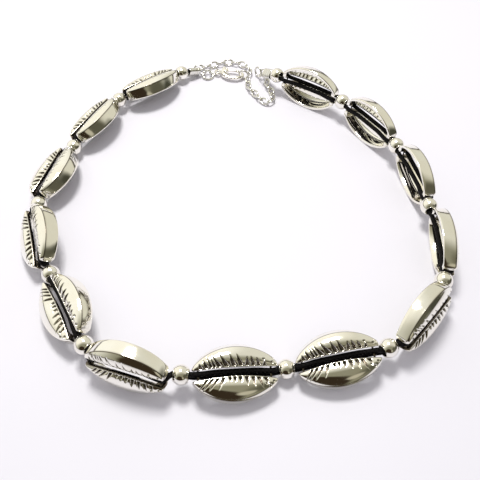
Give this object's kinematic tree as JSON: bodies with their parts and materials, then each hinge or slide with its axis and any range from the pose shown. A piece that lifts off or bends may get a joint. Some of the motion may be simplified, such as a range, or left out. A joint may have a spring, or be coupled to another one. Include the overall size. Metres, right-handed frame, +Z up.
{
  "type": "beaded choker",
  "caption": "Choker of hollow cast cowrie-shell beads and round spacers on twin black cords, with a sprung lobster clasp and an extender chain.",
  "frame": {"origin": "middle of the choker's outline, on the surface that it lies on", "axes": "+Z up; +Y towards the clasp, at the back of the wearer's neck; +X to the right seen from above with the clasp at the top"},
  "size_m": [0.1168, 0.1269, 0.0135],
  "materials": {
    "cast_silver": "polished cast, bright silver plate",
    "fittings": "polished silver plate",
    "cord": "matt black braided cord"
  },
  "bodies": {
    "choker": {"cowrie_01": "cast_silver", "cowrie_02": "cast_silver", "cowrie_03": "cast_silver", "cowrie_04": "cast_silver", "cowrie_05": "cast_silver", "cowrie_06": "cast_silver", "cowrie_07": "cast_silver", "cowrie_08": "cast_silver", "cowrie_09": "cast_silver", "cowrie_10": "cast_silver", "cowrie_11": "cast_silver", "cowrie_12": "cast_silver", "cowrie_13": "cast_silver", "spacer_01": "cast_silver", "spacer_02": "cast_silver", "spacer_03": "cast_silver", "spacer_04": "cast_silver", "spacer_05": "cast_silver", "spacer_06": "cast_silver", "spacer_07": "cast_silver", "spacer_08": "cast_silver", "spacer_09": "cast_silver", "spacer_10": "cast_silver", "spacer_11": "cast_silver", "spacer_12": "cast_silver", "spacer_13": "cast_silver", "spacer_14": "cast_silver", "cord_strand_back": "cord", "cord_strand_face": "cord", "cord_end_left": "fittings", "cord_end_right": "fittings", "jump_ring_left": "fittings", "connector_ring": "fittings", "jump_ring_right": "fittings", "hooked_link": "fittings", "clasp_body": "fittings", "extender_loop": "fittings", "extender_tail": "fittings"},
    "lever": {"clasp_lever": "fittings"}
  },
  "joints": [
    {"name": "lever_hinge", "type": "hinge", "parent": "choker", "child": "lever", "pos_m": [-0.0029, 0.05736, 0.00135], "axis": [0, 0, -1], "range_deg": [0, 18], "stiffness_Nm_per_rad": 0.004, "springref_deg": -14.32}
  ]
}
